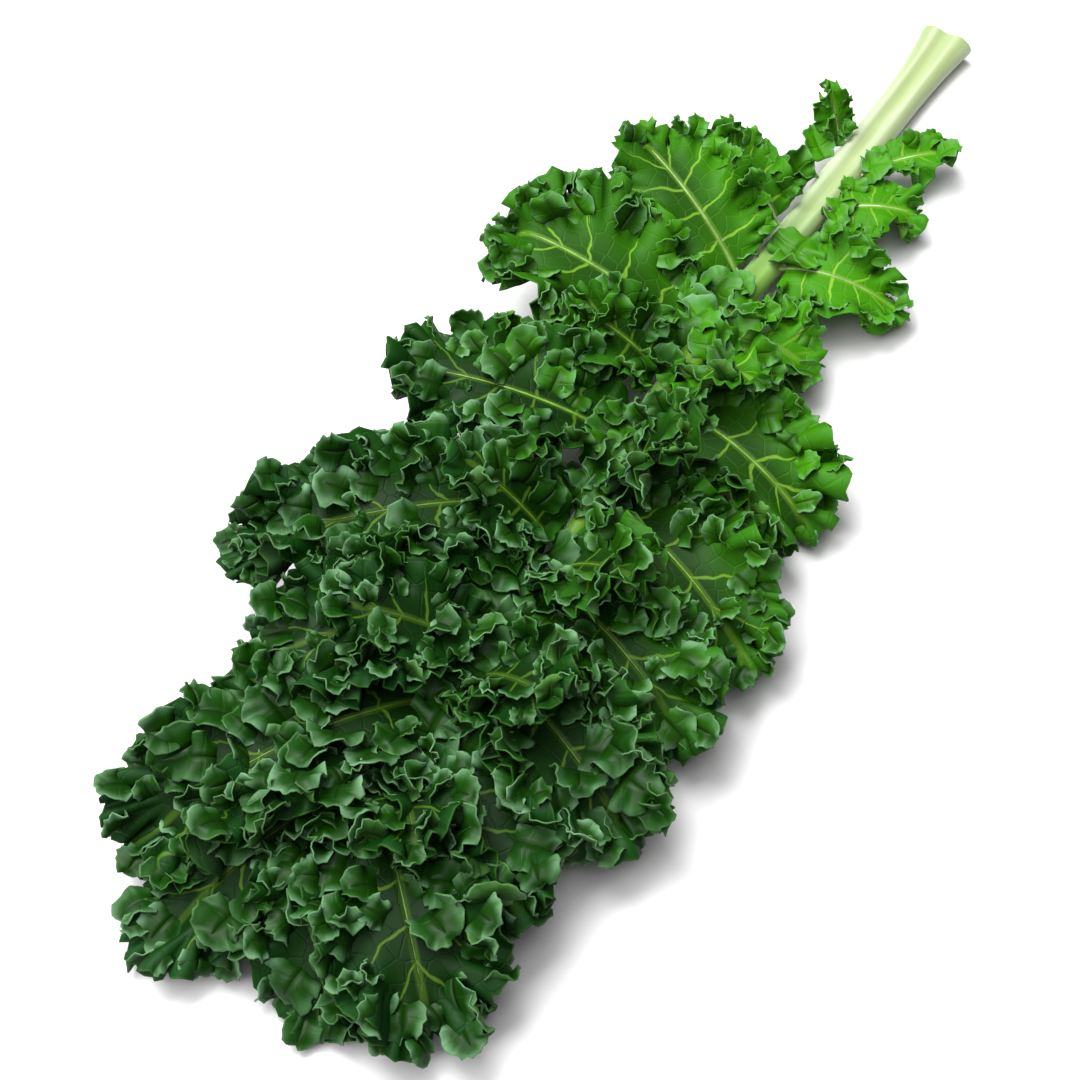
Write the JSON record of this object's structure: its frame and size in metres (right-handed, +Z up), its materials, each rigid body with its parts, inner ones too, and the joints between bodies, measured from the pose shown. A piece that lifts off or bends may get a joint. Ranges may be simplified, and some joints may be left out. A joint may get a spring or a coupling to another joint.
{
  "type": "curly kale leaf",
  "caption": "Curly kale leaf lying flat: a pale grooved stalk and midrib with side ribs, and green lobes with tightly ruffled edges.",
  "frame": {"origin": "middle of the leaf's bounding box, on the surface that it lies on", "axes": "+X along the leaf from its tip to the stalk's cut end, +Z up from the surface, +Y to the leaf's left half, looking from the cut end to the tip"},
  "size_m": [0.4246, 0.1554, 0.0564],
  "materials": {
    "stalk": "pale green plant stem, faintly streaked lengthwise, slightly waxy",
    "blade": "green leaf blade, satin above with a blue-grey waxy bloom on the crests, duller below"
  },
  "bodies": {
    "root": {"stalk": "stalk", "blade_left": "blade", "blade_right": "blade"}
  },
  "joints": []
}
